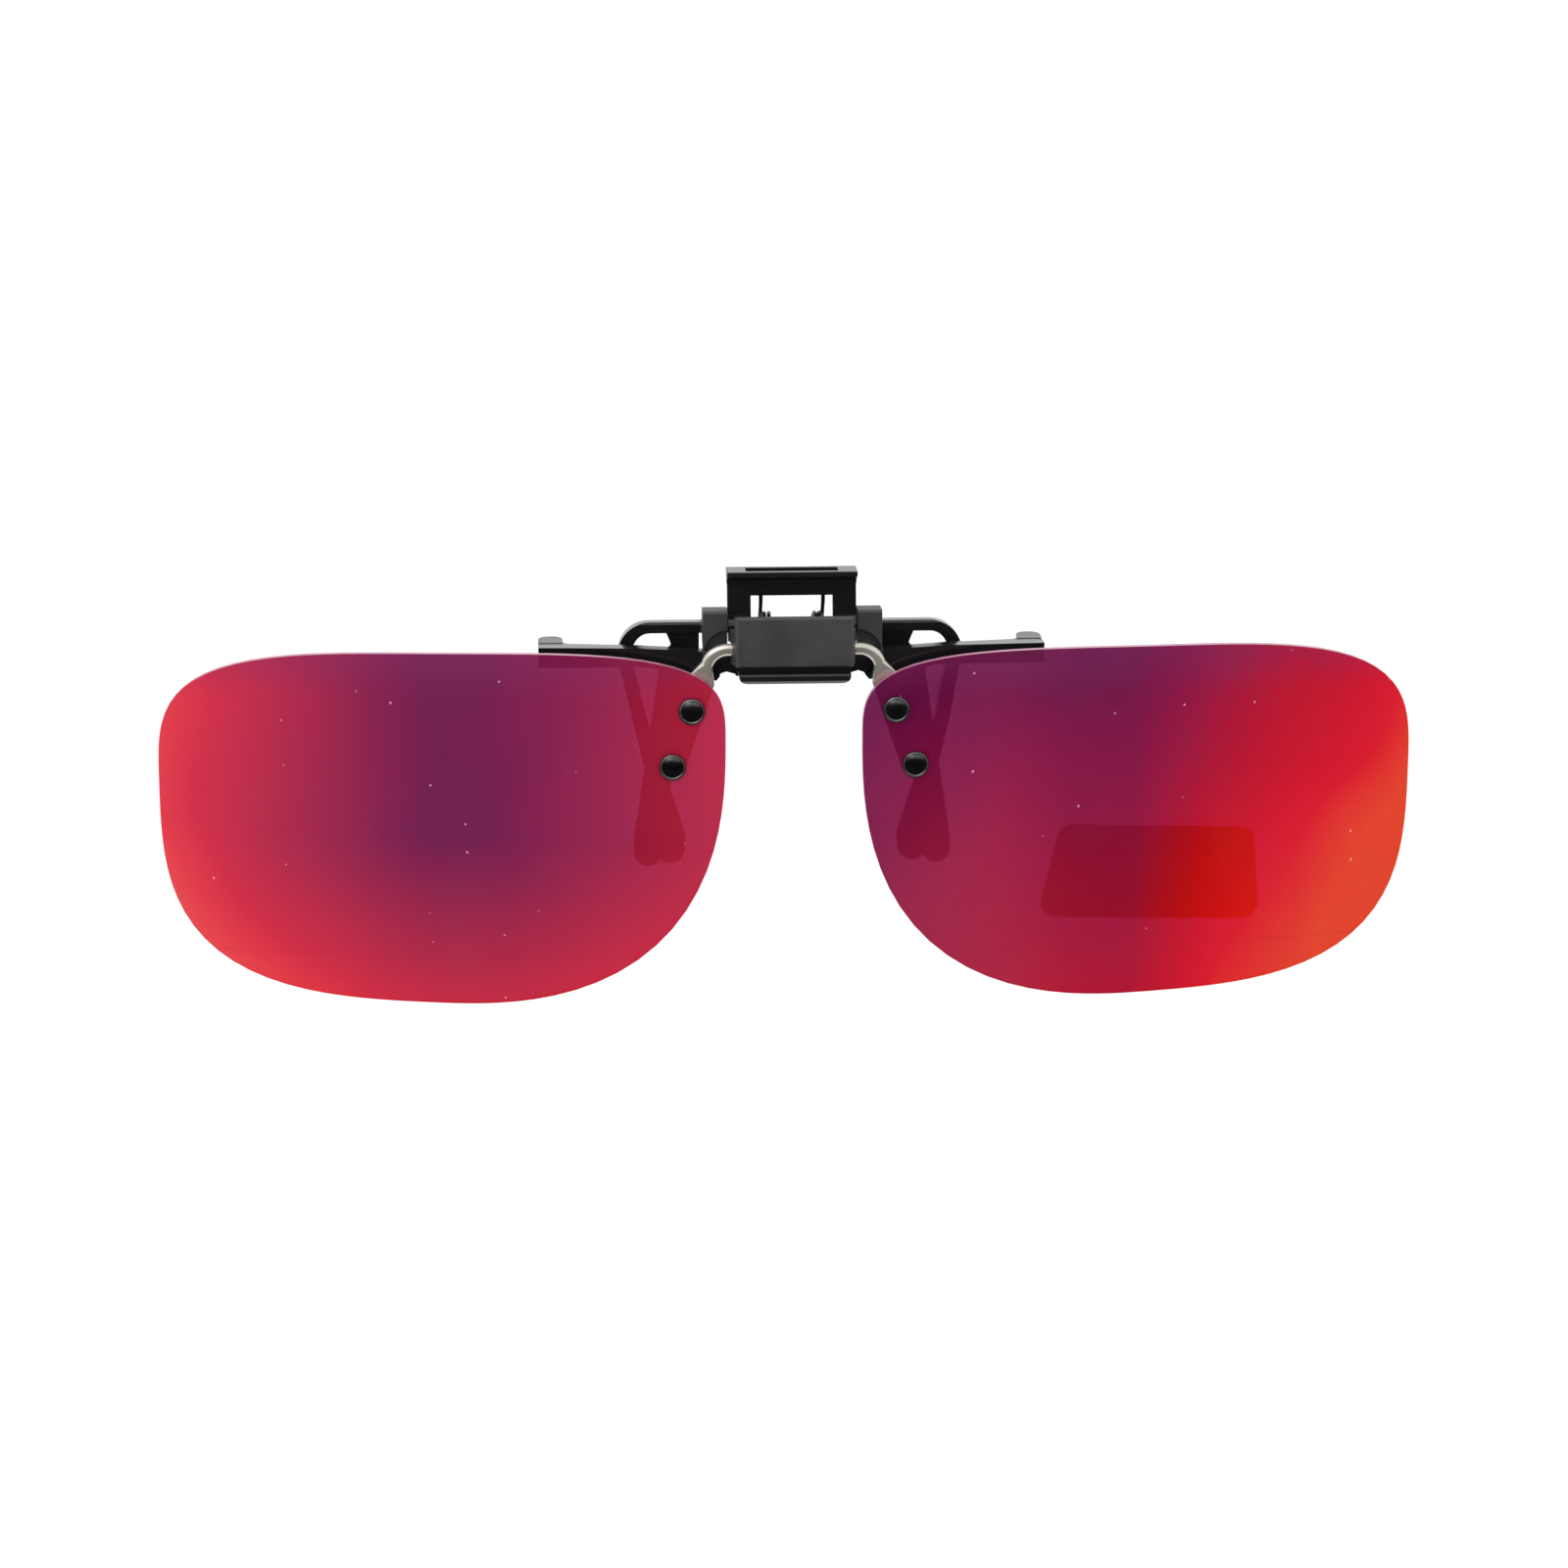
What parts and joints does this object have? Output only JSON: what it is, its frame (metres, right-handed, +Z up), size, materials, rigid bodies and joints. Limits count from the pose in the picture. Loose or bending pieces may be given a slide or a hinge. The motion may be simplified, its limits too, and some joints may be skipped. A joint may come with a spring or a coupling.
{
  "type": "clip on sunglasses",
  "caption": "Rimless mirror lenses on a metal bridge that flips up from a sprung pinch clip for the top of a pair of spectacles.",
  "frame": {"origin": "on the middle plane, at the top of the gripped spectacle rims, where the front and rear claws meet", "axes": "+X across the face towards the viewer's right, +Y from the lenses towards the wearer, +Z up"},
  "size_m": [0.1352, 0.012, 0.0469],
  "materials": {
    "clip_plastic": "glossy black moulding",
    "cover_plastic": "satin dark grey moulding",
    "spring_steel": "drawn spring wire and strip",
    "pin_steel": "ground steel",
    "claw_rubber": "soft matt black",
    "rest_rubber": "soft matt dark grey",
    "bridge_wire": "pale nickel alloy, drawn",
    "lens": "mirror coated red over a dark purple tint",
    "rivet": "gunmetal",
    "label": "blank film"
  },
  "bodies": {
    "clip_body": {"clip_body": "clip_plastic", "front_cover": "cover_plastic", "detent_spring": "spring_steel", "hinge_pin": "pin_steel", "torsion_spring": "spring_steel", "claw_tip_front_left": "claw_rubber", "claw_tip_front_right": "claw_rubber", "rest_tip_left": "rest_rubber", "rest_tip_right": "rest_rubber"},
    "rear_jaw": {"rear_jaw": "clip_plastic", "claw_tip_rear_left": "claw_rubber", "claw_tip_rear_right": "claw_rubber"},
    "lens_frame": {"bridge": "bridge_wire", "lens_left": "lens", "lens_right": "lens", "rivet_left_upper": "rivet", "rivet_left_lower": "rivet", "rivet_right_upper": "rivet", "rivet_right_lower": "rivet", "lens_label": "label"}
  },
  "joints": [
    {"name": "lens_flip", "type": "hinge", "parent": "clip_body", "child": "lens_frame", "pos_m": [0, -0.0031, 0.0016], "axis": [-1, 0, 0], "range_deg": [0, 90], "deforming": ["detent_spring"]},
    {"name": "jaw_open", "type": "hinge", "parent": "clip_body", "child": "rear_jaw", "pos_m": [0, 0, 0.0034], "axis": [1, 0, 0], "range_deg": [0, 20], "stiffness_Nm_per_rad": 0.02, "springref_deg": -34.38, "deforming": ["torsion_spring"]}
  ]
}
